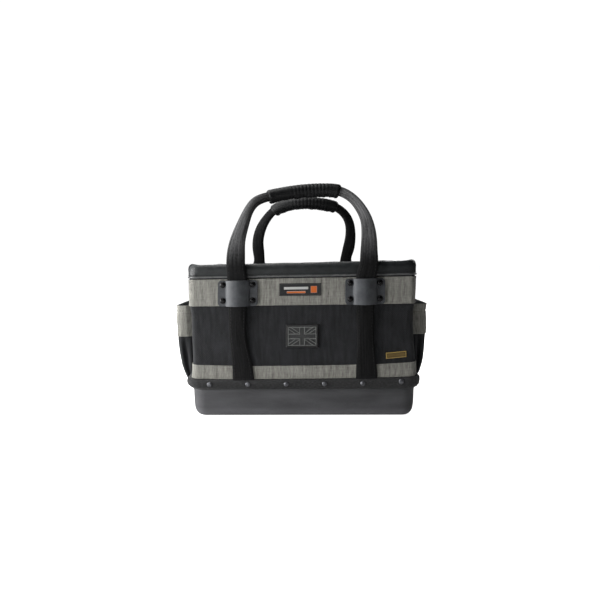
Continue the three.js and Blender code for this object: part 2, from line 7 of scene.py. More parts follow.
import bpy
import numpy as np
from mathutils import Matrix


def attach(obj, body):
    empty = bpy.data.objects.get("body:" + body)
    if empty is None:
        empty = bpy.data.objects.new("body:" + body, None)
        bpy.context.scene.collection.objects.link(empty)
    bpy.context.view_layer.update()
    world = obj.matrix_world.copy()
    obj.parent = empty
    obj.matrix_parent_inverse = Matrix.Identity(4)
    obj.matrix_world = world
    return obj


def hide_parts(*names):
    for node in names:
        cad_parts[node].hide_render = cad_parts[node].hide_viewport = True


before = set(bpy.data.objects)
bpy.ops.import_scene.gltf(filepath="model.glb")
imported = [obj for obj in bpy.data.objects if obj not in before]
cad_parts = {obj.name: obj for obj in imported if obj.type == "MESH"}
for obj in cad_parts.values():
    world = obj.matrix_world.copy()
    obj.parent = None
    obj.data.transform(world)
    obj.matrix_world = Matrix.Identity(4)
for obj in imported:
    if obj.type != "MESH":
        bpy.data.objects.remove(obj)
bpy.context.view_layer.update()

# The camera stands level at rim height, this far in front of the front wall, and its picture is square.
VIEW = {"distance": 640, "mm_per_pixel": 1.757, "height": 278, "horizon_pixel": 260.4, "middle_pixel": 302.4}
IMAGE = 600
# Air between two layers, the thickness of walls and canvas, and how far out the strip stands.
GAP = 0.3
WALL = 3.0
BAND = 1.2
STRIP_OUT = 3.5
# How far the long sides stand from the middle, and half the body's length.
LONG_SIDE = 116
HALF_LENGTH = 205
# The heights of each layer's two edges.
WALLS = (53, 266)
STRIP = (52, 71.3)
LOWER_BAND = (71.6, 95.5)
UPPER_BAND = (199.7, 247.2)
POCKET_SHELL = (70.9, 195)
POCKET_BAND = (138, 194.6)
# What is fixed on the upper band starts this far out of the wall.
ON_BAND = 2 * GAP + BAND


def table(columns, rows):
    """Named columns of numbers from rows of numbers."""
    return dict(zip(columns.split(), np.array(rows, float).T))


# The body's outer outline at each height: flared at the foot and tucked in round the tray, with tight corners
# in the cloth and wider ones at the rim. bow is how far the long sides stand out.
BODY = table("z half_width half_depth corner bow", [
    (53, 206, 115, 31, 0), (56, 207, 115.6, 28, 0), (60, 207.4, 116, 25, 0), (66, 206.7, 116.5, 23, 0),
    (68.5, 204.6, 116.4, 20, 0), (70.4, 201.4, 116.3, 17, 0.1), (72, 199.6, 116.2, 15, 0.2),
    (76, 199, 116, 14, 0.4), (97, 198.6, 116, 13, 1.5), (150, 196.3, 116, 10, 3),
    (185, 197.2, 116, 10, 1), (197.5, 199.4, 116, 11, 0.2), (248, 201.5, 116, 13, 0),
    (258, 201.4, 116, 17, 0), (274.5, 203, 116, 24, 0),
])
# How strongly the cloth ripples at each height: it is held flat by the strip, the bands and the rim.
SLACK = table("z share", [(53, 0), (72, 0.1), (110, 1), (175, 1), (198, 0.3), (250, 0.15), (275, 0)])
# The soft body leans: its right end sits higher than the middle by rise, and the middle hangs by droop.
LIFT = table("z rise droop", [
    (0, 0.3, 0), (53, 1.2, 0), (72, 2.3, 1.2), (98, 2.4, 1.8), (150, 2.6, 0.8), (200, 2.9, 0), (262, 3.6, 0),
    (275, 4.6, 0), (345, 0, 0), (430, 0, 0),
])
# How far the foot of the soft body stands to the right of its rim.
SHIFT = table("z aside", [
    (0, 2.8), (53, 2.8), (60, 1.8), (69, 2), (76, 3.4), (88, 3.4), (105, 2.6), (150, 0.5), (200, -0.5),
    (250, -0.1), (275, -0.4), (430, 0),
])
# The tray's outside: how far each height is taken in from its outline under the strip.
TRAY = table("z taken", [
    (0, 12.5), (1.3, 12.1), (1.6, 7.6), (2.6, 5.9), (4, 4.6), (6, 3.6), (8, 2.8), (11, 2.2), (14, 1.9),
    (20, 1.4), (30, 1), (53, 0.3), (60, -0.8), (70.5, -0.8),
])
TRAY_WALL = 3.5
# Pockets: how far they stand out of the end wall, half their width, their corners, the bow of the outside, the
# depth of the folds in each gusset, and how far the gusset leans back towards the wall.
POCKET = table("z stands half corner bow pleat slant", [
    (70.9, 16.5, 77, 6, 0, 0.5, 0), (72.5, 19.5, 77.3, 7, 0, 2, 0), (76, 22, 77.5, 8.5, 0, 3.5, 0),
    (84, 24.8, 78.3, 9.5, 0.5, 5, 0), (100, 27.8, 80, 11, 1.5, 6, 0.5),
    (120, 30.8, 81.8, 11.5, 2, 3.5, 2), (135, 33.2, 83, 12, 2.5, 1.5, 5), (150, 35, 84, 13, 2.5, 0, 8),
    (165, 34.9, 84.7, 13, 2.5, 0, 8), (195, 32.8, 86, 13, 2, 0, 8),
])
# The left pocket, -1, hangs fuller than the right one, 1. LEAN is the share of slant that each gusset takes,
# SAG how far the outside's foot hangs, and MOUTH how far the mouth is raised.
FULLNESS = table("z left right", [
    (70.9, 0.93, 0.88), (78, 1.0, 0.9), (88, 1.1, 0.96), (100, 1.11, 0.97), (130, 1.09, 0.97),
    (150, 1.02, 0.97), (162, 1.045, 0.97), (170, 1.055, 0.97), (180, 1.06, 0.97), (190, 1.02, 0.97),
    (195, 1.01, 0.97),
])
LEAN = {-1: 1, 1: 0.2}
SAG = {-1: 12, 1: 8}
MOUTH = {-1: 3.3, 1: 0.8}
# A handle's leg, foot to rim. out is from the wall to the strap's middle, and swing the share of the way to the
# arch's start.
LEG = table("z swing out wide thick", [
    (71.5, 0, 3.4, 37.5, 3.4), (97, 0, 3.6, 35, 4.4), (125, 0, 4.1, 30.5, 5.5), (150, 0, 4.6, 29.5, 6.4),
    (197, 0, 5.3, 31, 7), (222, 0, 5.8, 31.5, 7.2), (240, 0, 6.4, 32.5, 7.2), (250, 0.2, 7.6, 34, 7.4),
    (264, 0.8, 9, 33, 8.4),
])
# The middles of the two brackets on a side.
BRACKET_X = (-113, 109.5)
BRACKET_Z = 222.2
# Each handle's arch from left to right, measured like its legs.
FRONT_ARCH = table("x z out wide thick", [
    (-115.5, 288, 8, 32, 9), (-115, 312, -5, 28, 10), (-108.3, 344, -25, 22.5, 12.5),
    (-99.7, 373.5, -45, 18.5, 14.5), (-86.5, 392.3, -59, 18.5, 15), (-67, 401, -66, 18, 15),
    (-32, 409, -70.5, 18, 15), (10, 414.8, -73, 18, 15), (46, 416, -73, 18, 15),
    (76, 412, -71.5, 18.5, 15), (97, 398.5, -66, 18.5, 15), (110, 379.5, -54, 20, 14),
    (118, 358, -39, 22, 12.5), (120, 332, -20, 26, 10.5), (117.5, 303, -1, 29, 9.2),
    (115.5, 286, 8.5, 30.5, 9),
])
BACK_ARCH = table("x z out wide thick", [
    (-102.6, 276, 9.3, 27.3, 8.8), (-103.6, 300, 4, 27.2, 9.4), (-104, 320, -6, 26.5, 10),
    (-95.5, 350, -24, 24, 12), (-79, 373.5, -46, 19.5, 14.5), (-60, 390.5, -59, 18, 15),
    (-30, 401, -68, 18, 15), (8, 404.5, -72, 18, 15), (45, 402.5, -69, 18, 15), (77, 395, -63, 18, 15),
    (101.5, 376, -48, 19.5, 14.5), (112.7, 350, -26, 22.4, 12), (114, 321, -6, 26.3, 10),
    (111, 300, 4, 27.4, 9.4), (106.5, 277, 9.3, 27.2, 8.8),
])
# Each handle: the way it faces, its arch, its feet, where its sleeve starts and ends, the seed of the sleeve's
# raggedness, and how far the strap is greyed: rubbed wear and painted sheen on the front, while the back's
# small share keeps it dark as painted shade.
HANDLES = {
    "front": {"facing": -1, "arch": FRONT_ARCH, "feet": (-103, 112), "grip": (-67, 76), "seed": 5, "rubbed": 1},
    # The back strap's small share keeps it near black: painted shade.
    "back": {"facing": 1, "arch": BACK_ARCH, "feet": BRACKET_X, "grip": (-64, 77), "seed": 8, "rubbed": 0.05},
}
# A strap's rows of points. Its stitching lies this share of the way from its middle to its edges, in a groove
# that takes this share of its thickness.
STRAP_ROWS = 260
SEAM = 0.74
GROOVE = 0.16


def linear(code):
    """An sRGB hex colour as linear red, green, blue and alpha."""
    c = np.array([int(code[i:i + 2], 16) for i in (1, 3, 5)]) / 255
    return (*np.where(c <= 0.04045, c / 12.92, ((c + 0.055) / 1.055) ** 2.4).tolist(), 1.0)


def eased(t, rows, key):
    """A column of a table at t: cubic pieces that never pass beyond their rows, level at both ends."""
    x, y = rows["z"], rows[key]
    t = np.clip(t, x[0], x[-1])
    chord = np.diff(y) / np.diff(x)
    both = chord[:-1] * chord[1:]
    slope = np.zeros_like(y)
    slope[1:-1] = np.where(both > 0, 2 * both / np.where(both > 0, chord[:-1] + chord[1:], 1), 0)
    i = np.clip(np.searchsorted(x, t) - 1, 0, len(x) - 2)
    h = x[i + 1] - x[i]
    s = (t - x[i]) / h
    low = y[i] * (1 + 2 * s) + h * slope[i] * s
    high = y[i + 1] * (3 - 2 * s) + h * slope[i + 1] * (s - 1)
    return low * (1 - s) ** 2 + high * s ** 2


def held(values):
    """Values held between 0 and 1."""
    return np.clip(values, 0, 1)


def full_turn(count):
    """Angles evenly spaced round a circle."""
    return np.linspace(0, 2 * np.pi, count, endpoint=False)


def joined(*columns):
    """Columns side by side along a new last axis, each spread over the shape of all."""
    return np.stack(np.broadcast_arrays(*columns), -1)


def unit(rows):
    """Each row of a list of vectors, at a length of 1."""
    return rows / np.linalg.norm(rows, axis=1, keepdims=True)


def sampled(t, at, rows):
    """Rows of values known at some places, read at t in straight lines between them."""
    return np.stack([np.interp(t, at, column) for column in rows.T], -1)


def spline(points, t):
    """A smooth curve through rows of values at t from 0 to 1: the natural cubic spline over its chords' length.

    The first three values of each row are the place that the chords join.
    """
    n = len(points)
    h = np.linalg.norm(np.diff(points[:, :3], axis=0), axis=1)
    at = np.r_[0, np.cumsum(h)]
    inner = np.arange(1, n - 1)
    bend = np.eye(n)
    bend[inner, inner - 1] = h[:-1]
    bend[inner, inner] = 2 * (h[:-1] + h[1:])
    bend[inner, inner + 1] = h[1:]
    wanted = np.zeros_like(points)
    wanted[1:-1] = 6 * np.diff(np.diff(points, axis=0) / h[:, None], axis=0)
    m = np.linalg.solve(bend, wanted)
    t = t * at[-1]
    i = np.clip(np.searchsorted(at, t) - 1, 0, n - 2)
    a, b, w = (at[i + 1] - t)[:, None], (t - at[i])[:, None], h[i][:, None]
    curve = (m[i] * a ** 3 + m[i + 1] * b ** 3) / (6 * w)
    return curve + (points[i] / w - m[i] * w / 6) * a + (points[i + 1] / w - m[i + 1] * w / 6) * b


def waves(x, y, z, seed):
    """Gentle unevenness from -1 to 1: the mean of sines whose directions and lengths differ."""
    rng = np.random.default_rng(seed)
    total = 0.0
    for length in (170, 110, 75, 48):
        kx, ky, kz = rng.normal(size=3) * 2 * np.pi / length * np.array([0.8, 0.8, 0.6])
        total = total + np.sin(kx * x + ky * y + kz * z + rng.uniform(0, 6.28))
    return total / 4


# The outline's eight stretches, corner and side by turns from the left end of the front corner.
STRETCH = table("sx sy", [(-1, -1), (0, -1), (1, -1), (1, 0), (1, 1), (0, 1), (-1, 1), (-1, 0)])


def wall(q, z, out):
    """A point on the body's wall: q goes round the outline, one unit to a stretch, and out leaves it squarely.

    A corner is an arc about its centre, a side is straight, bowed by a parabola, and rippled by long waves.
    """
    q, z, out = np.broadcast_arrays(q, z, out)
    stretch = np.floor(q).astype(int) % 8
    part = q - np.floor(q)
    a, b, r, bow = (eased(z, BODY, key) for key in ("half_width", "half_depth", "corner", "bow"))
    sx, sy = STRETCH["sx"][stretch], STRETCH["sy"][stretch]
    corner = stretch % 2 == 0
    turn = np.pi + np.pi / 2 * (stretch // 2 + part)
    nx = np.where(corner, np.cos(turn), sx)
    ny = np.where(corner, np.sin(turn), sy)
    share = 2 * part - 1
    x = np.where(corner, sx * (a - r) + r * nx, sx * a - sy * share * (a - r))
    y = np.where(corner, sy * (b - r) + r * ny, sy * b + sx * share * (b - r))
    swell = np.where(corner, 0, np.abs(sy) * bow * (1 - share ** 2))
    swell = swell + 0.9 * eased(z, SLACK, "share") * waves(x, y, z, 3) + out
    return joined(x + nx * swell + eased(z, SHIFT, "aside"), y + ny * swell, z)


def front_q(x, z):
    """Where a place with this X lies on the outline's front: on the side, or on the corner past its end."""
    a, r = eased(z, BODY, "half_width"), eased(z, BODY, "corner")
    x = x - eased(z, SHIFT, "aside")
    past = held((np.abs(x) - (a - r)) / r)
    on_corner = 1.5 + np.sign(x) * (0.5 + np.arcsin(past) / (np.pi / 2))
    return np.where(past > 0, on_corner, 1.5 + x / (a - r) / 2)


def stretches(start, end, step):
    """Places round the outline from start to end, about step mm apart on corners and sides alike."""
    lengths = [30, 370, 30, 195] * 2
    cuts = np.unique(np.r_[start, np.arange(math.ceil(start), math.floor(end) + 1), end])
    runs = []
    for low, high in zip(cuts[:-1], cuts[1:]):
        count = max(2, round(lengths[int(low) % 8] * (high - low) / step))
        runs.append(np.linspace(low, high, count, endpoint=False))
    return np.r_[(*runs, end)]


def layer(low, high, inner, outer, rows, edge=0.5):
    """Section of a sheet of cloth: up its face, over a rounded top edge, down its back and round its foot."""
    r = min(edge, (outer - inner) / 2)
    turn = np.linspace(0, np.pi / 2, 4)
    c, s = r * np.cos(turn), r * np.sin(turn)
    face, back, top, foot = outer - r, inner + r, high - r, low + r
    z = np.linspace(foot, top, rows)
    flat = np.zeros(rows)
    out = np.r_[flat + outer, face + c[1:], back - s[:-1], flat + inner, back - c[1:], face + s[:-1]]
    up = np.r_[z, top + s[1:], top + c[:-1], z[::-1], foot - s[1:], foot - c[:-1]]
    return joined(out, up)


def grid_faces(rows, cols, looped):
    """Four-sided faces of a grid of closed rings, by the mesh's points and by those of its flat measure."""
    i, j = np.meshgrid(np.arange(rows if looped else rows - 1), np.arange(cols), indexing="ij")
    corners = [(i, j), (i + 1, j), (i + 1, j + 1), (i, j + 1)]
    wide = np.stack([a * (cols + 1) + b for a, b in corners], -1).reshape(-1, 4)
    near = np.stack([a % rows * cols + b % cols for a, b in corners], -1).reshape(-1, 4)
    return near, wide


def cloth_map(points, looped):
    """Flat measure of a grid in metres: mean lengths along its rows and along its columns."""
    full = np.r_[points, points[:1]] if looped else points
    full = np.concatenate([full, full[:, :1]], axis=1)
    along = np.linalg.norm(np.diff(full, axis=0), axis=2).mean(axis=1)
    across = np.linalg.norm(np.diff(full, axis=1), axis=2).mean(axis=0)
    u, v = (np.r_[0, np.cumsum(steps)] / 1000 for steps in (along, across))
    return np.stack(np.meshgrid(u, v, indexing="ij"), -1).reshape(-1, 2)


def lifted(points):
    """The lean of the soft body: a rise in proportion to X, and a droop of the middle by the cube of X."""
    x, y, z = points.T
    share = x / HALF_LENGTH
    hang = 2.2 * held(np.abs(share)) ** 3 - 0.9
    return joined(x, y, z + share * eased(z, LIFT, "rise") + hang * eased(z, LIFT, "droop"))


def add_object(name, data):
    """A new object in the scene, at the origin."""
    item = bpy.data.objects.new(name, data)
    bpy.context.scene.collection.objects.link(item)
    return item


def make(name, points, material, stands_for=(), looped=False, sharp=None, shade=None):
    """One mesh from a grid of points in mm, (rows, columns, 3), or from a stack of such grids.

    Each row is a closed ring. A looped grid's last row meets its first; any other gets a face over both.
    Faces are turned outwards by the sign of the volume that they enclose.
    """
    points = points if points.ndim == 4 else points[None]
    copies, rows, cols, _ = points.shape
    near, wide = grid_faces(rows, cols, looped)
    uv = cloth_map(points[0], looped)[wide]
    caps = [] if looped else [np.arange(cols)[::-1], (rows - 1) * cols + np.arange(cols)]
    first = points[0].reshape(-1, 3)
    a, b, c, d = (first[near[:, k]] for k in range(4))
    volume = (a * np.cross(b, c)).sum() + (a * np.cross(c, d)).sum()
    for cap in caps:
        volume += (first[cap[0]] * np.cross(first[cap[1:-1]], first[cap[2:]])).sum()
    if volume < 0:
        near, uv = near[:, ::-1], uv[:, ::-1]
        caps = [cap[::-1] for cap in caps]
    faces, maps = [], []
    for start in np.arange(copies) * rows * cols:
        faces += (near + start).tolist() + [(cap + start).tolist() for cap in caps]
        maps += [uv.reshape(-1, 2)] + [np.zeros((cols, 2))] * len(caps)
    mesh = bpy.data.meshes.new(name)
    mesh.from_pydata((lifted(points.reshape(-1, 3)) / 1000).tolist(), [], faces)
    mesh.uv_layers.new(name="cloth").data.foreach_set("uv", np.concatenate(maps).astype(np.float32).ravel())
    if shade is not None:
        tones = mesh.attributes.new("shade", "FLOAT", "POINT").data
        tones.foreach_set("value", shade.astype(np.float32).ravel())
    mesh.polygons.foreach_set("use_smooth", np.ones(len(mesh.polygons), bool))
    if sharp:
        mesh.set_sharp_from_angle(angle=math.radians(sharp))
    mesh.materials.append(material)
    piece = add_object(name, mesh)
    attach(piece, "root")
    if stands_for:
        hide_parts(*stands_for)
    return piece


def put(tree, kind, inputs, output=0, **settings):
    """Adds a node, sets its properties, sets or links each input by name or number, and gives one output."""
    node = tree.nodes.new("ShaderNode" + kind)
    for key, value in settings.items():
        setattr(node, key, value)
    for key, value in inputs.items():
        if isinstance(value, bpy.types.NodeSocket):
            tree.links.new(value, node.inputs[key])
        else:
            node.inputs[key].default_value = value
    return node.outputs[output]


# The shader's name for how much a surface shines.
SHINE = "Specular IOR Level"


def new_material(name, shader):
    """A material with the shader's constant values set, and its node tree."""
    material = bpy.data.materials.new(name)
    material.use_nodes = True
    tree = material.node_tree
    for key, value in shader.items():
        tree.nodes["Principled BSDF"].inputs[key].default_value = value
    return material, tree


def dress(material, colour, height, distance, roughness=None):
    """Links a colour, a height in shares of a distance in metres, and a roughness to the material's shader."""
    tree = material.node_tree
    bump = put(tree, "Bump", {"Strength": 1.0, "Distance": distance, "Height": height})
    for key, socket in (("Base Color", colour), ("Normal", bump), ("Roughness", roughness)):
        if socket is not None:
            tree.links.new(socket, tree.nodes["Principled BSDF"].inputs[key])
    return material


def own_map(tree):
    """The piece's own flat measure of its cloth, in metres."""
    return put(tree, "UVMap", {}, uv_map="cloth")


# These patterns join the node tree of the socket that they are given, its id_data.
def summed(parts):
    """The sum of several patterns, each times its share."""
    total = 0.0
    for pattern, share in parts:
        total = put(pattern.id_data, "Math", {0: pattern, 1: share, 2: total}, operation="MULTIPLY_ADD")
    return total


def spread(pattern, start, end, low=0.0, high=1.0):
    """A pattern's stretch from start to end laid out from low to high, and held at both."""
    ends = {"From Min": start, "From Max": end, "To Min": low, "To Max": high}
    return put(pattern.id_data, "MapRange", {"Value": pattern, **ends})


def two_tone(pattern, low, high, start, end):
    """A blend of two sRGB colours as a pattern goes from start to end."""
    share = spread(pattern, start, end)
    return put(share.id_data, "Mix", {0: share, 6: linear(low), 7: linear(high)}, 2, data_type="RGBA")


def mottle(place, lengths, detail):
    """Soft random patches whose lengths along the three axes are given in metres."""
    scaled = {0: place, 1: tuple(1 / length for length in lengths)}
    vector = put(place.id_data, "VectorMath", scaled, operation="MULTIPLY")
    return put(place.id_data, "TexNoise", {"Vector": vector, "Scale": 1.0, "Detail": detail})


def ridges(place, pitch, direction="X"):
    """Rounded ridges one after another along a direction, one to each pitch in metres."""
    scale = 2 * math.pi / (20 * pitch)
    return put(place.id_data, "TexWave", {"Vector": place, "Scale": scale}, 1, bands_direction=direction)


def weave(place, pitch):
    """Plain weave: rounded threads both ways, which pass over and under by turns like a chequerboard."""
    over = put(place.id_data, "TexChecker", {"Vector": place, "Scale": 1 / pitch}, 1)
    warp, weft = ridges(place, pitch), ridges(place, pitch, "Y")
    return put(place.id_data, "Mix", {0: over, 2: warp, 3: weft}, data_type="FLOAT")


def ballistic_nylon():
    """Black ballistic nylon, a heavy basket weave: nearly black, matt, with a faint grid of thick threads.

    The real threads are about 1 mm; they are drawn at 1.9 mm so that the weave shows in a render.
    """
    shader = {"Roughness": 0.85, SHINE: 0.18, "Sheen Weight": 0.06, "Sheen Roughness": 0.5}
    material, tree = new_material("ballistic_nylon", shader)
    cloth = own_map(tree)
    threads = weave(cloth, 0.0019)
    blotch = mottle(cloth, (0.05, 0.035, 1), 3.0)
    streak = mottle(cloth, (0.006, 0.045, 1), 2.0)
    fibre = mottle(cloth, (0.0035, 0.0012, 1), 2.0)
    tone = summed([(threads, 0.35), (fibre, 0.4), (blotch, 0.3), (streak, 0.55)])
    return dress(material, two_tone(tone, "#08090a", "#2a2b2e", 0.55, 1.08), threads, 0.00045)


def heathered_canvas():
    """Grey canvas of mixed yarns: vertical slub streaks of light and dark fibre over a plain weave."""
    shader = {"Roughness": 0.9, SHINE: 0.2, "Sheen Weight": 0.08}
    material, tree = new_material("heathered_canvas", shader)
    cloth = own_map(tree)
    threads = weave(cloth, 0.0015)
    slub = mottle(cloth, (0.0052, 0.07, 1), 2.0)
    fine = mottle(cloth, (0.0013, 0.012, 1), 2.0)
    cross = mottle(cloth, (0.02, 0.0016, 1), 1.0)
    tone = summed([(slub, 0.8), (fine, 0.8), (cross, 0.3), (threads, 0.12)])
    height = summed([(threads, 0.6), (fine, 0.4)])
    return dress(material, two_tone(tone, "#43423e", "#95948d", 0.6, 1.45), height, 0.0004)


def ribbed_webbing():
    """Black nylon webbing: ribs of twisted yarn across a flat strap, dull with a slight sheen on the ribs.

    The real ribs are about 1.2 mm; they are drawn at 2 mm so that they show in a render.
    """
    shader = {"Roughness": 0.7, SHINE: 0.22, "Sheen Weight": 0.1, "Sheen Roughness": 0.4}
    material, tree = new_material("ribbed_webbing", shader)
    cloth = own_map(tree)
    slant = put(tree, "Mapping", {"Vector": cloth, "Rotation": (0, 0, math.radians(12))})
    fuzz = mottle(cloth, (0.004, 0.0015, 1), 3.0)
    rib = ridges(slant, 0.002)
    tone = summed([(rib, 0.35), (fuzz, 0.8)])
    return dress(material, two_tone(tone, "#080808", "#343435", 0.4, 0.86), rib, 0.0004)


def brushed_and_lit_webbing():
    """Nylon webbing: black where it lies flat, and grey where it is rolled up round.

    The grey is partly rubbed wear and partly painted sheen, standing in for the light that falls on the rolled
    part.
    Long streaks follow the strap and fine ribs cross it. The real ribs are about 1.2 mm, drawn here at 2 mm.
    """
    material, tree = new_material("brushed_and_lit_webbing", {"Roughness": 0.8, SHINE: 0.12})
    cloth = own_map(tree)
    wear_and_light = put(tree, "Attribute", {}, 2, attribute_name="shade")
    streak = mottle(cloth, (0.05, 0.0022, 1), 3.0)
    fuzz = mottle(cloth, (0.004, 0.001, 1), 2.0)
    rib = ridges(cloth, 0.002)
    tone = summed([(streak, 0.75), (fuzz, 0.5)])
    black = two_tone(tone, "#030303", "#151516", 0.45, 0.8)
    grey = two_tone(tone, "#222222", "#6b6b6c", 0.42, 0.85)
    # The shade value blends black into grey: partly wear, partly painted sheen and painted shade.
    colour = put(tree, "Mix", {0: wear_and_light, 6: black, 7: grey}, 2, data_type="RGBA")
    return dress(material, colour, summed([(rib, 0.35), (streak, 0.5)]), 0.0005)


def coated_leather(name, low, high, specular, rough):
    """Coated split leather: fine pebbled grain of about 1.4 mm, satin, a little paler where it is rubbed."""
    material, tree = new_material(name, {SHINE: specular})
    cloth = own_map(tree)
    pebble = put(tree, "TexVoronoi", {"Vector": cloth, "Scale": 1 / 0.0014})
    crease = mottle(cloth, (0.012, 0.006, 1), 4.0)
    height = summed([(pebble, -0.7), (crease, 0.8)])
    patchy = spread(crease, 0, 1, rough - 0.08, rough + 0.1)
    return dress(material, two_tone(crease, low, high, 0.3, 0.7), height, 0.0004, patchy)


def moulded(name, low, high, specular, rough, rubbed):
    """Injection-moulded rubber or nylon: an even fine texture from the mould, and faint rubbed patches.

    Within 18 mm of the floor it is painted paler, fading upwards, as a painted reflection of the bright floor,
    and its sole is darkened as a painted shadow.
    """
    material, tree = new_material(name, {SHINE: specular})
    place = put(tree, "TexCoord", {}, 3)
    grain = mottle(place, (0.001, 0.001, 0.001), 3.0)
    rub = mottle(place, rubbed, 4.0)
    height = put(tree, "SeparateXYZ", {"Vector": place}, 2)
    # Painted light: paler near the floor, standing in for the floor's reflection. Painted shadow: a dark line
    # along the sole.
    painted_floor_light, painted_sole_shadow = spread(height, 0.018, 0.003), spread(height, 0.0024, 0.0014)
    tone = summed([(grain, 0.35), (rub, 0.65), (painted_floor_light, 0.5), (painted_sole_shadow, -0.9)])
    patchy = spread(rub, 0, 1, rough - 0.09, rough + 0.09)
    return dress(material, two_tone(tone, low, high, 0.35, 0.95), grain, 0.0002, patchy)


def rivet_metal(name, low, high, metallic, specular, rough):
    """Pressed steel rivet heads: smooth domes with light scuffs, enamelled black or plated dull grey."""
    material, tree = new_material(name, {"Metallic": metallic, SHINE: specular})
    place = put(tree, "TexCoord", {}, 3)
    scuff = mottle(place, (0.0022, 0.0022, 0.0022), 4.0)
    patchy = spread(scuff, 0, 1, rough - 0.08, rough + 0.14)
    return dress(material, two_tone(scuff, low, high, 0.35, 0.65), scuff, 0.00008, patchy)


def shaded_face(name, stops, rough, pitch):
    """A woven or cast face whose tone comes from the piece's own shade value, over fine threads."""
    material, tree = new_material(name, {"Roughness": rough, SHINE: 0.3})
    shade = put(tree, "Attribute", {}, 2, attribute_name="shade")
    blend = put(tree, "ValToRGB", {"Fac": shade})
    elements = blend.node.color_ramp.elements
    for place, _ in stops[2:]:
        elements.new(place)
    for element, (place, code) in zip(elements, stops):
        element.position = place
        element.color = linear(code)
    return dress(material, blend, weave(own_map(tree), pitch), 0.00015)


def sewing_thread(name, low, high):
    """Bonded nylon thread: two twisted plies, slightly shiny."""
    material, tree = new_material(name, {"Roughness": 0.6, SHINE: 0.2})
    place = put(tree, "TexCoord", {}, 3)
    twist = mottle(place, (0.0006, 0.0006, 0.0006), 2.0)
    return dress(material, two_tone(twist, low, high, 0.3, 0.7), twist, 0.0001)


BALLISTIC = ballistic_nylon()
CANVAS = heathered_canvas()
WEBBING = ribbed_webbing()
HANDLE_WEBBING = brushed_and_lit_webbing()
LEATHER = coated_leather("coated_leather", "#131516", "#1f2223", 0.28, 0.46)
GRIP_LEATHER = coated_leather("grip_leather", "#020304", "#060708", 0.22, 0.48)
WELT_LEATHER = coated_leather("welt_leather", "#3c3d3d", "#585959", 0.35, 0.45)
RUBBER = moulded("moulded_rubber", "#2e2e30", "#545457", 0.35, 0.57, (0.09, 0.09, 0.02))
NYLON = moulded("glass_filled_nylon", "#2c2e31", "#4f5154", 0.3, 0.5, (0.014, 0.014, 0.014))
BLACK_STEEL = rivet_metal("black_enamelled_steel", "#030304", "#070708", 0.0, 0.17, 0.25)
PLATED_STEEL = rivet_metal("plated_steel", "#4a4b4e", "#6b6c70", 0.9, 0.5, 0.4)
DARK_THREAD = sewing_thread("dark_thread", "#0b0b0c", "#19191a")
GREY_THREAD = sewing_thread("grey_thread", "#5c5d58", "#84857e")


def wall_piece(name, q, section, material, node, looped=False):
    """Carries a section of out and z along places round the body's outline."""
    points = wall(q[:, None], section[:, 1], section[:, 0])
    return make(name, points, material, [node], looped)


def build_tray():
    """Rings of the tray's outline stacked from the sole up the outside, over the lip and down to the floor.

    The lower edge is rounder at the ends, a low bead runs just under the strip, and behind it the edge flares.
    """
    lip, sole_rows = 68, 10
    outside = np.r_[np.linspace(0, 2, 6), np.linspace(2.4, 28, 30), np.linspace(30, lip, 20)]
    bead = 0.8 * np.exp(-((outside - 48) / 1.5) ** 2)
    taken = eased(outside, TRAY, "taken")
    turn = np.linspace(0, np.pi, 9)[1:-1]
    z = np.r_[outside, lip + 1.7 * np.sin(turn), outside[::-1][:-sole_rows]]
    over = taken[-1] + TRAY_WALL / 2 * (1 - np.cos(turn))
    taken = np.r_[taken - bead, over, taken[::-1][:-sole_rows] + TRAY_WALL][:, None, None]
    q = stretches(0, 8, 4)[:-1]
    base = wall(q, WALLS[0], -WALL - GAP)
    inward = wall(q, WALLS[0], -WALL - GAP - 1) - base
    fuller = 1 + 0.7 * inward[:, :1] ** 2
    rings = base + inward * np.maximum(taken, 0) * fuller + inward * np.minimum(taken, 0)
    rings[..., 2] = z[:, None]
    make("tray", rings, RUBBER, ["base_tray"])


def build_walls():
    """Four padded panels that meet at the ends of the end faces."""
    section = layer(*WALLS, -WALL, 0, 54, 1.2)
    runs = {
        "front_panel": (0, 3), "back_panel": (4, 7),
        "end_panel_right": (3.0035, 3.9965), "end_panel_left": (7.0035, 7.9965),
    }
    for name, (start, end) in runs.items():
        piece = wall_piece(f"cloth_{name}", stretches(start, end, 4), section, BALLISTIC, name)


def build_bands():
    """Canvas on the walls: a band right round under the rim with turned hems, and a low one front and back."""
    upper = layer(*UPPER_BAND, GAP, GAP + BAND, 24)
    hem = sum(np.exp(-((upper[:, 1] - middle) / 1.5) ** 2) for middle in (201.4, 245.6))
    upper[:, 0] += np.where(upper[:, 0] > GAP + BAND / 2, 0.9 * hem, 0)
    q = stretches(0, 8, 4)[:-1]
    ring = wall_piece("cloth_upper_band", q, upper, CANVAS, "upper_band", True)
    lower = layer(*LOWER_BAND, GAP, GAP + BAND, 14)
    for side, start in (("front", 0), ("back", 4)):
        name = f"lower_band_{side}"
        band = wall_piece(f"cloth_{name}", stretches(start, start + 3, 4), lower, CANVAS, name)


def build_strip():
    """Doubled webbing round the foot of the walls, its lower edge drawn in above the tray's bead."""
    section = layer(*STRIP, GAP, STRIP_OUT, 16, 1.3)
    drawn = held((57 - section[:, 1]) / 5) ** 2
    section[:, 0] -= 0.8 * drawn * (section[:, 0] > GAP + 1.4)
    q = stretches(0, 8, 3)[:-1]
    wall_piece("webbing_base_strip", q, section, WEBBING, "base_strip", True)


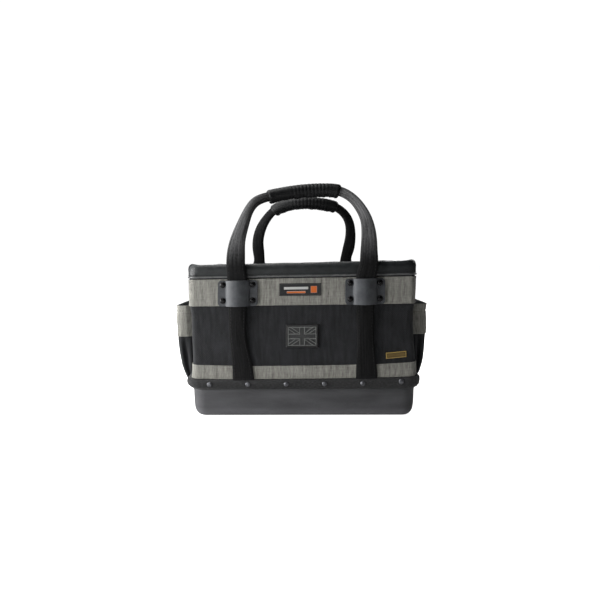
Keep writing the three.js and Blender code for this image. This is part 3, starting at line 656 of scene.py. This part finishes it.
def build_rim():
    """The padded roll: an oval over the wall's edge that peaks at the corners, and the round welt under it."""
    step = 2.5
    q = stretches(0, 8, step)[:-1]
    turn = np.linspace(0, np.pi, 30)
    crown = joined(-2.75 + 6.25 * np.cos(turn), 264.3 + 9 * np.sin(turn))
    rise = np.linspace(0, 1, 8)[:-1]
    z = 251.9 + 12.4 * rise
    front = joined(1.6 + 1.9 * rise ** 0.7, z)
    back = joined(-5.6 - 3.4 * rise ** 0.5, z)[::-1]
    slot = np.array([(-3.3, 251.9), (-3.3, 260), (-3.3, 266.3), (0.3, 266.3), (0.3, 260), (0.3, 251.9)])
    section = np.r_[front, crown, back, slot]
    corner = np.exp(-(((q + 0.5) % 2 - 1) / 0.45) ** 2) * np.where(q < 4, 1, 0.3)
    points = wall(q[:, None], section[:, 1], section[:, 0])
    share = held((section[:, 1] - 252) / 22)
    along = np.arange(len(q)) * step
    wrinkle = np.sin(along / 5.5) * corner * 0.45 + 0.25 * np.sin(along / 23) + 0.2 * np.sin(along / 9.3 + 1)
    points[..., 2] += (2.6 * corner + wrinkle)[:, None] * share
    roll = make("rim_roll", points, LEATHER, ["rim_binding"], True)
    turn = full_turn(14)
    bead = joined(1.7 + 1.4 * np.cos(turn), 251 + 1.7 * np.sin(turn))
    wall_piece("rim_piping", q, bead, WELT_LEATHER, "rim_welt", True)


def handle_frame(side, count):
    """A handle's middle line with the strap's face, its across direction and its sizes at each place.

    The line is a spline through the legs on the wall and the arch above them. The face looks outwards, square
    to the line, and across lies square to both.
    """
    handle = HANDLES[side]

    def leg(foot, bracket, arch_x):
        rise = held((LEG["z"] - LEG["z"][0]) / (165 - LEG["z"][0]))
        x = foot + (bracket - foot) * rise * rise * (3 - 2 * rise)
        return np.stack([x + (arch_x - x) * LEG["swing"], *(LEG[k] for k in ("z", "out", "wide", "thick"))], -1)

    top = np.stack([handle["arch"][k] for k in ("x", "z", "out", "wide", "thick")], -1)
    left, right = (leg(handle["feet"][k], BRACKET_X[k], top[-k, 0]) for k in (0, 1))
    x, z, out, wide, thick = np.r_[left, top, right[::-1]].T
    place = wall(front_q(x, z), z, out)
    place[:, 1] *= -handle["facing"]
    line = spline(np.concatenate([place, wide[:, None], thick[:, None]], axis=1), np.linspace(0, 1, count))
    middle = line[:, :3]
    tangent = unit(np.gradient(middle, axis=0))
    face = np.array([[0.0, handle["facing"], 0.0]])
    face = unit(face - tangent * (tangent @ face[0])[:, None])
    return middle, face, np.cross(tangent, face), line[:, 3], line[:, 4]


def oval(turn, power):
    """Points of a rounded oblong with half sizes of 1: cosine and sine raised to 2 over the power."""
    c, s = np.cos(turn), np.sin(turn)
    return np.sign(c) * np.abs(c) ** (2 / power), np.sign(s) * np.abs(s) ** (2 / power)


def strap_form(z, thick):
    """How square a strap's section is at each place, and how far its groove is worked in, from 0 to 1."""
    return np.where(z < 246, 2.2, np.clip(6 - thick / 3.2, 2.4, 3.2)), held((z - 245) / 60)


def around(middle, across, face, u, v):
    """Rings of points about a line, u along its across direction and v along its face."""
    return middle[:, None] + across[:, None] * u[..., None] + face[:, None] * v[..., None]


def build_strap(side):
    """A strap that goes from flat on the wall to round in the arch, with a groove for each row of stitching.

    It is grey above the rim, partly rubbed wear and partly painted sheen of the light from above. Its inner
    side and the stretch beside the sleeve's left end are darkened as painted shade, and the back strap is kept
    near black as painted shade.
    """
    handle = HANDLES[side]
    middle, face, across, wide, thick = handle_frame(side, STRAP_ROWS)
    x, z = middle[:, :1], middle[:, 2:3]
    power, high = strap_form(z, thick[:, None])
    u, v = oval(full_turn(36)[None, :], power)
    groove = np.exp(-((np.abs(u) - SEAM) / 0.07) ** 2) * (v > 0)
    half_thick = thick[:, None] / 2 * (1 - GROOVE * groove * high)
    # Grey from the rim up: partly wear, partly painted sheen of the overhead light on the leaning strap.
    wear_and_light = held((z - np.where(x < 0, 266, 268)) / 60)
    # Painted shade: the strap is darkened beside the sleeve's left end.
    shade_by_grip = held(1 - (np.abs(x - handle["grip"][0]) - 4) / 26) * (z > 370)
    # Painted shade: the inner side of the rolled strap is darkened.
    inner = held(0.1 - u * handle["facing"]) * high
    # The handle's share keeps the back strap near black, as painted shade.
    wear_and_light = wear_and_light * wear_and_light * (3 - 2 * wear_and_light) * (1 - 0.7 * shade_by_grip) * (1 - 0.5 * inner) * handle["rubbed"]
    points = around(middle, across, face, u * wide[:, None] / 2, v * half_thick)
    make(f"webbing_handle_{side}", points, HANDLE_WEBBING, [f"handle_{side}"], shade=wear_and_light)


def build_grip(side):
    """The wrapped sleeve at a handle's top: a swollen oval with ribs, a ragged lower seam and closed ends."""
    grip = HANDLES[side]["grip"]
    values = handle_frame(side, STRAP_ROWS)
    x, _, z = values[0].T
    ends = np.flatnonzero((z > 300) & (x >= grip[0]) & (x <= grip[1]))[[0, -1]] / (STRAP_ROWS - 1)
    share = np.linspace(0, 1, 150)
    t, at = np.linspace(*ends, 150), np.linspace(0, 1, STRAP_ROWS)
    middle, face, across, wide, thick = (sampled(t, at, rows.reshape(STRAP_ROWS, -1)) for rows in values)
    rng = np.random.default_rng(HANDLES[side]["seed"])
    turn = full_turn(48)
    u, v = np.cos(turn), np.sin(turn)
    ribs = 0.15 + 0.85 * held((share - 0.28) / 0.1) * held((0.88 - share) / 0.1)
    ribs = 0.55 * ribs * (np.abs(np.sin(share * np.pi * 20)) - 0.6)
    ragged = np.interp(share, np.linspace(0, 1, 24), rng.uniform(0.2, 2.2, 24))
    ragged += 0.5 * np.abs(np.sin(share * np.pi * 26))
    down = np.sign(across[:, 2].mean())
    seam = np.exp(-((u * down + 1) / 0.16) ** 2)
    close = held(np.minimum(share, 1 - share) / 0.03) ** 0.6
    swell = (1.4 + 2.4 * close + ribs)[:, None] + seam * ragged[:, None] * 1.1
    points = around(middle, across, face, u * (wide / 2 + swell), v * (thick / 2 + swell + 0.6))
    sleeve = make(f"grip_sleeve_{side}", points, GRIP_LEATHER, [f"grip_{side}"])


# Half the width of a bracket's hump, half its whole section, and the thickness of its plate.
HUMP = 21
SADDLE_HALF = 35.5
SADDLE_PLATE = 2.5


def bracket_section():
    """The saddle's section: flat flanges, a rounded hump between them, and the same line back inside."""
    u, v = oval(np.linspace(np.pi, 0, 41), 1.65)
    foot, flat = np.linspace(-SADDLE_HALF, -21.6, 7), np.zeros(7)
    outer_x = np.r_[foot, u * HUMP, -foot[::-1]]
    outer_h = ON_BAND + SADDLE_PLATE + np.r_[flat, 0.2 + v * 10, flat]
    inner_x = np.r_[foot, u * 18.6, -foot[::-1]]
    inner_h = ON_BAND + np.r_[flat, v * 10, flat]
    return np.r_[outer_x, inner_x[::-1]], np.r_[outer_h, inner_h[::-1]]


def hung_on(points, x, z, facing):
    """Points of a fitting, X along the wall and Y out of it, set on the front or turned round on the back."""
    px, out, pz = np.moveaxis(points, -1, 0)
    return joined(x - facing * px, facing * (LONG_SIDE + out), z + pz)


def turned_dome(head, rise, sides=20):
    """A rivet head: rings from the flat back round a soft edge and over a dome."""
    turn = np.linspace(0, np.pi / 2 * 0.94, 9)
    radius = np.r_[head * 0.5, head * 0.97, head, head * np.cos(turn)[1:]]
    along = np.r_[0, 0, 0.35, 0.35 + (rise - 0.35) * np.sin(turn)[1:]]
    angle, radius = full_turn(sides), radius[:, None]
    return joined(radius * np.cos(angle), along[:, None], radius * np.sin(angle))


def build_hardware():
    """Brackets with their rivets, and the rivets of the base strip, on the front and on the back."""
    tall, wide, radius, crease = 22.6, 34.7, 6, 50
    x, h = bracket_section()
    low = -tall + radius * (1 - np.cos(np.linspace(0, np.pi / 2, 8)))
    z = np.r_[low, np.linspace(-14, 14, 12), -low[::-1]]
    past = np.clip(np.abs(z) - (tall - radius), 0, radius)
    half = wide - (radius - np.sqrt(radius ** 2 - past ** 2))
    stretch = ((half - HUMP) / (SADDLE_HALF - HUMP))[:, None]
    px = np.where(np.abs(x) > HUMP, np.sign(x) * (HUMP + (np.abs(x) - HUMP) * stretch), x)
    saddle = joined(px, h, z[:, None])
    dome = turned_dome(5.4, 3.4)
    dome[..., 1] += ON_BAND + SADDLE_PLATE + 0.1
    spots = np.array([(-26, 15.1), (26, 15.1), (-26, -12.7), (26, -12.7)])
    rivets, covered = [], []
    for side, facing in (("front", -1), ("back", 1)):
        for hand, middle in zip(("left", "right"), BRACKET_X):
            placed = hung_on(saddle, middle, BRACKET_Z, facing)
            name = f"{side}_{hand}"
            piece = make(f"saddle_{name}", placed, NYLON, [f"bracket_{name}"], sharp=crease)
            bevel = piece.modifiers.new("edges", "BEVEL")
            bevel.width = 0.0007
            bevel.segments = 2
            bevel.limit_method = "ANGLE"
            bevel.angle_limit = math.radians(crease)
            rivets += [hung_on(dome + np.array([sx, 0, sz]), middle, BRACKET_Z, facing) for sx, sz in spots]
            covered += [f"bracket_rivet_{name}_{i}" for i in range(1, 5)]
    make("bracket_rivet_heads", np.stack(rivets), BLACK_STEEL, covered)
    dome = turned_dome(4.3, 2.2)
    dome[..., 1] += STRIP_OUT + 0.2
    places = 5 + (np.arange(6) - 2.5) * 67
    heights = 62.6 + np.array([0, 0, 0, 0, 0, 2.0])
    heads = [hung_on(dome, px, pz, facing) for facing in (-1, 1) for px, pz in zip(places, heights)]
    covered = [f"base_rivet_{side}_{i}" for side in ("front", "back") for i in range(1, 7)]
    make("base_rivet_heads", np.stack(heads), PLATED_STEEL, covered)


def pocket_wall(p, z, out, hand):
    """A point on a pocket: p goes round its U, gusset, corner, outside, corner and gusset, one unit to each.

    Low down each gusset has two smooth folds with a ridge between them, one by the wall and one by the corner.
    Higher up its inner part leans back to the wall. The outside's foot sags past the strip.
    """
    p, z, out = np.broadcast_arrays(p, z, out)
    stands, half, corner, bow, pleat, slant = (
        eased(z, POCKET, key) for key in ("stands", "half", "corner", "bow", "pleat", "slant"))
    aside = eased(z, SHIFT, "aside")
    stands = stands * eased(z, FULLNESS, "left" if hand < 0 else "right") + (aside if hand < 0 else 0)
    base = eased(z, BODY, "half_width") + GAP
    stretch = np.clip(np.floor(p), 0, 4).astype(int)
    part = p - stretch
    end = np.where(stretch < 2, -1.0, 1.0)
    near = np.where(stretch < 2, part, 1 - part)
    turn = near * np.pi / 2
    bend, middle = stretch % 2 == 1, stretch == 2
    share = 2 * part - 1
    nx = np.where(bend, np.sin(turn), middle)
    ny = np.where(bend, end * np.cos(turn), np.where(middle, 0, end))
    x = np.where(bend, stands - corner + corner * np.sin(turn), near * (stands - corner))
    x = np.where(middle, stands + bow * (1 - share ** 2), x)
    y = np.where(bend, end * (half - corner + corner * np.cos(turn)), end * half)
    y = np.where(middle, share * (half - corner), y)
    gusset = 2.5 - np.abs(p - 2.5)
    fold = pleat * (0.8 * np.exp(-((gusset - 0.2) / 0.15) ** 2) + np.exp(-((gusset - 0.85) / 0.2) ** 2))
    fold = fold + LEAN[hand] * slant * held(1 - gusset / 0.7)
    ripple = 0.5 * np.sin(y / 19 + z / 31) * held((150 - z) / 40) * (np.abs(p - 2.5) < 1.5)
    lift = out - fold + ripple
    sag = SAG[hand] * held((x - 5) / 7) ** 2 * held((90 - z) / 20)
    raised = z - sag + MOUTH[hand] * held((z - 120) / 75)
    return joined(hand * (base + x + nx * lift) + aside, y + ny * lift, raised)


def pocket_piece(name, section, hand, material, node):
    """Carries a section of out and z round a pocket's U."""
    p = np.r_[np.linspace(0, 2, 29), np.linspace(2, 3, 40)[1:-1], np.linspace(3, 5, 29)]
    points = pocket_wall(p[:, None], section[:, 1], section[:, 0], hand)
    return make(name, points, material, [node])


def build_pockets():
    """On each end a black pocket and its canvas top with a turned hem."""
    shell = layer(*POCKET_SHELL, -2, 0, 60, 0.9)
    band = layer(*POCKET_BAND, GAP, GAP + BAND, 64)
    hem = held((band[:, 1] - 183) / 0.8) * 0.6 - 0.5 * np.exp(-((band[:, 1] - 181.5) / 1.2) ** 2)
    band[:, 0] += np.where(band[:, 0] > GAP + BAND / 2, hem, 0)
    for hand, sign in (("left", -1), ("right", 1)):
        pocket = pocket_piece(f"cloth_pocket_{hand}", shell, sign, BALLISTIC, f"pocket_{hand}")
        top = pocket_piece(f"cloth_pocket_band_{hand}", band, sign, CANVAS, f"pocket_band_{hand}")


def plate_grid(width, height, step):
    """Local X and Z over an oblong, row by row, and how far each place lies from the nearest edge."""
    x = np.linspace(-width / 2, width / 2, round(width / step) + 1)
    z = np.linspace(-height / 2, height / 2, round(height / step) + 1)
    x, z = np.meshgrid(x, z, indexing="ij")
    return x, z, np.minimum(width / 2 - np.abs(x), height / 2 - np.abs(z))


def plate(name, middle, x, z, relief, shade, clear, tilt, material, node):
    """A thin plate on the front wall: a grid of its face at relief, and its back, joined round the edge.

    Each column of the grid is a closed section, up the face and down the back, carried along the width.
    """
    c, s = math.cos(tilt), math.sin(tilt)
    px, pz = middle[0] + x * c - z * s, middle[1] + x * s + z * c
    q = front_q(px, pz)
    points = np.concatenate([wall(q, pz, clear + relief), wall(q, pz, clear)[:, ::-1]], axis=1)
    tones = np.concatenate([shade, shade[:, ::-1]], axis=1)
    make(name, points, material, [node], sharp=55, shade=tones)


def near_line(distance, half, soft):
    """1 within half of a line, falling to 0 over soft."""
    return held((half + soft - np.abs(distance)) / soft)


def build_plates():
    """A woven label with a border and plain bars, a small gilt tag, and a cast patch of a cross and saltire."""
    x, z, edge = plate_grid(73, 22, 0.5)
    border = near_line(edge - 1.4, 0.25, 0.3)
    pale = near_line(z - 2.6, 2.1, 0.3) * near_line(x + 7, 21, 0.4)
    warm = near_line(z + 4.6, 1.5, 0.3) * near_line(x + 7, 16, 0.4)
    block = near_line(x - 24, 5, 0.4) * near_line(z, 5.5, 0.4)
    tone = held(0.12 * border + 0.5 * pale + warm + block)
    thick = np.where(edge < 0.01, 0.2, 1.0) + 0.25 * border
    stops = [(0, "#121416"), (0.25, "#4b4c49"), (0.5, "#a9aaa7"), (1, "#b2571c")]
    label = shaded_face("woven_label", stops, 0.7, 0.0007)
    plate("woven_name_label", (-4, 227.1), x, z, thick, tone, ON_BAND, 0, label, "name_label")

    x, z, edge = plate_grid(36, 10.8, 0.45)
    frame_line = near_line(edge - 0.7, 0.5, 0.4)
    inner = near_line(edge - 2.4, 0.25, 0.3)
    tone = held(0.42 + 0.4 * frame_line - 0.25 * inner)
    thick = np.where(edge < 0.01, 0.2, 0.7) + 0.2 * frame_line
    gilt = shaded_face("gilt_weave", [(0, "#211b0e"), (0.45, "#5c4a20"), (1, "#a2894a")], 0.55, 0.0009)
    tilt = math.radians(2)
    plate("gilt_small_tag", (164.5, 110), x, z, thick, tone, 2 * GAP, tilt, gilt, "small_tag")

    x, z, edge = plate_grid(57.5, 40, 0.4)
    slope = math.atan2(31.8, 49.3)
    rising = x * math.sin(slope) - z * math.cos(slope)
    falling = x * math.sin(slope) + z * math.cos(slope)
    across = np.minimum(np.abs(rising), np.abs(falling))
    straight = np.minimum(np.abs(x), np.abs(z))
    cross = near_line(straight - 4.1, 0.42, 0.4)
    saltire = near_line(across - 2.3, 0.36, 0.4) * held((straight - 5.0) / 0.5)
    rim = near_line(edge - 4.5, 0.42, 0.4)
    inside = held((edge - 3.7) / 0.5)
    raised = np.max([cross, saltire, rim], axis=0) * inside
    tone = held(0.15 * inside + 0.85 * raised)
    thick = 0.5 + 1.9 * held(edge / 1.6) ** 0.6 + 0.6 * raised
    rubber = shaded_face("cast_rubber", [(0, "#0a0b0b"), (0.15, "#1c1d1d"), (1, "#585a58")], 0.5, 0.0006)
    plate("cast_flag_patch", (-0.3, 146.6), x, z, thick, tone, 2 * GAP, 0, rubber, "flag_patch")


def stitches(line, outward, pitch=5.0, long=3.5, thick=0.75):
    """Stitches along a line of points: short rounded lengths of thread, each bedded at its ends.

    The line is measured by its length, a stitch is set every pitch, and its oval section closes at both ends.
    """
    at = np.r_[0, np.cumsum(np.linalg.norm(np.diff(line, axis=0), axis=1))]
    place = (np.arange(int(at[-1] // pitch)) + 0.5) * pitch
    spot = sampled(place, at, line)
    ahead = unit(sampled(place + 1, at, line) - sampled(place - 1, at, line))
    up = unit(sampled(place, at, outward))
    side = np.cross(up, ahead)
    s = np.array([-1, -0.72, 0, 0.72, 1])
    fat = np.array([0.35, 0.85, 1, 0.85, 0.35])[:, None]
    turn = full_turn(6)
    along = ahead[:, None, None] * (s * long / 2)[:, None, None]
    wide = side[:, None, None] * (fat * np.cos(turn) * thick / 2)[..., None]
    tall = up[:, None, None] * ((fat - 0.6) * 0.25 + fat * np.sin(turn) * thick / 2)[..., None]
    return spot[:, None, None] + along + wide + tall


def wall_stitches(start, end, z, out):
    """Stitches along the wall at one height, looking out of it."""
    q = stretches(start, end, 3)
    line = wall(q, z, out)
    return stitches(line, wall(q, z, out + 1) - line)


def build_stitching():
    """Thread rows: hems of the bands and pockets, the rim's lower edge, and both edges of each strap."""
    canvas = GAP + BAND
    rows = [(0, 8, z, canvas + 0.35) for z in (202.4, 244.6)]
    rows += [(start, start + 3, z, canvas + 0.1) for start in (0, 4) for z in (73.6, 92.8)]
    grey = [wall_stitches(*row) for row in rows]
    dark = [wall_stitches(0, 8, 254.5, 2.7)]
    p = np.linspace(0.05, 4.95, 160)
    for hand in (-1, 1):
        for z, out in ((184.6, canvas + 0.4), (141, canvas + 0.1)):
            line = pocket_wall(p, z, out, hand)
            grey.append(stitches(line, pocket_wall(p, z, out + 1, hand) - line))
    count = 700
    left = np.arange(count) < count / 2
    for side in HANDLES:
        middle, face, across, wide, thick = handle_frame(side, count)
        power, high = strap_form(middle[:, 2], thick)
        stands = thick / 2 * (1 - SEAM ** power) ** (1 / power) * (1 - GROOVE * high)
        sewn = (middle[:, 2] > 76) & (middle[:, 2] < 385)
        for use in (sewn & left, sewn & ~left):
            for edge in (-SEAM, SEAM):
                line = middle + across * (edge * wide / 2)[:, None] + face * stands[:, None]
                dark.append(stitches(line[use], face[use], pitch=5.5))
    make("grey_stitching", np.concatenate(grey), GREY_THREAD)
    make("dark_stitching", np.concatenate(dark), DARK_THREAD)


def flat_floor(name, height, shader):
    """A wide level sheet with a plain white finish."""
    size = 30.0
    corners = [(x * size, y * size, height) for x, y in ((-1, -1), (1, -1), (1, 1), (-1, 1))]
    mesh = bpy.data.meshes.new(name)
    mesh.from_pydata(corners, [], [(0, 1, 2, 3)])
    mesh.materials.append(new_material(name, shader)[0])
    floor = add_object(name, mesh)
    return floor


def softbox(name, place, aim, size, power):
    """A square studio lamp at a place, turned to face its aim."""
    lamp = bpy.data.lights.new(name, "AREA")
    lamp.energy = power
    lamp.size = size
    box = add_object(name, lamp)
    box.location = place
    x, y, z = (a - b for a, b in zip(aim, place))
    box.rotation_euler = (math.atan2(math.hypot(x, y), -z), 0, math.atan2(y, x) - math.pi / 2)


def build_stage():
    """A white floor that glows a little to the eye, a white surround, soft lamps and the camera.

    The key stands far to the left, a low fill in front and a weak one on the right. A wide lamp hangs overhead,
    and a lamp and a broad card of light stand behind.
    """
    white = {"Roughness": 0.9, SHINE: 0.1, "Base Color": linear("#f4f4f4")}
    glow = {**white, "Emission Color": (1, 1, 1, 1), "Emission Strength": 1.02}
    seen = flat_floor("pale_floor", -0.0003, glow)
    seen.visible_diffuse = seen.visible_glossy = seen.visible_transmission = seen.visible_shadow = False
    bounce = flat_floor("floor_bounce", -0.0006, {**white, "Base Color": linear("#cccccc")})
    bounce.visible_camera = False

    world = bpy.data.worlds.new("studio")
    bpy.context.scene.world = world
    world.use_nodes = True
    tree = world.node_tree
    background = tree.nodes["Background"]
    background.inputs["Color"].default_value = (1, 1, 1, 1)
    to_eye = put(tree, "LightPath", {})
    strength = spread(to_eye, 0, 1, 0.015, 1.05)
    tree.links.new(strength, background.inputs["Strength"])

    softbox("key_lamp", (-1.15, -0.42, 0.3), (0, -0.1, 0.15), 0.8, 34)
    softbox("low_fill", (-0.14, -0.5, 0.09), (-0.02, 0, 0.09), 0.25, 0.42)
    softbox("right_fill", (0.55, -0.33, 0.2), (0.22, -0.08, 0.16), 0.2, 0.1)
    softbox("top_lamp", (-0.5, -0.12, 1.25), (-0.1, 0, 0.3), 0.9, 17)
    softbox("back_lamp", (0.95, 1.15, 1.0), (0.05, 0.05, 0.2), 0.8, 12)
    softbox("back_card", (-0.2, 1.2, 0.9), (0, 0, 0.27), 1.2, 22)

    camera = bpy.data.cameras.new("camera")
    camera.sensor_width = 36
    camera.lens = 36 * VIEW["distance"] / VIEW["mm_per_pixel"] / IMAGE
    camera.shift_y = (VIEW["horizon_pixel"] - IMAGE / 2) / IMAGE
    eye = add_object("camera", camera)
    aside = (IMAGE / 2 - VIEW["middle_pixel"]) * VIEW["mm_per_pixel"]
    eye.location = (aside / 1000, -(LONG_SIDE + VIEW["distance"]) / 1000, VIEW["height"] / 1000)
    eye.rotation_euler = (math.pi / 2, 0, 0)
    bpy.context.scene.camera = eye
    bpy.context.scene.view_settings.view_transform = "Standard"


build_tray()
build_walls()
build_bands()
build_strip()
build_rim()
for side in HANDLES:
    build_strap(side)
    build_grip(side)
build_hardware()
build_pockets()
build_plates()
build_stitching()
build_stage()

bpy.context.view_layer.update()
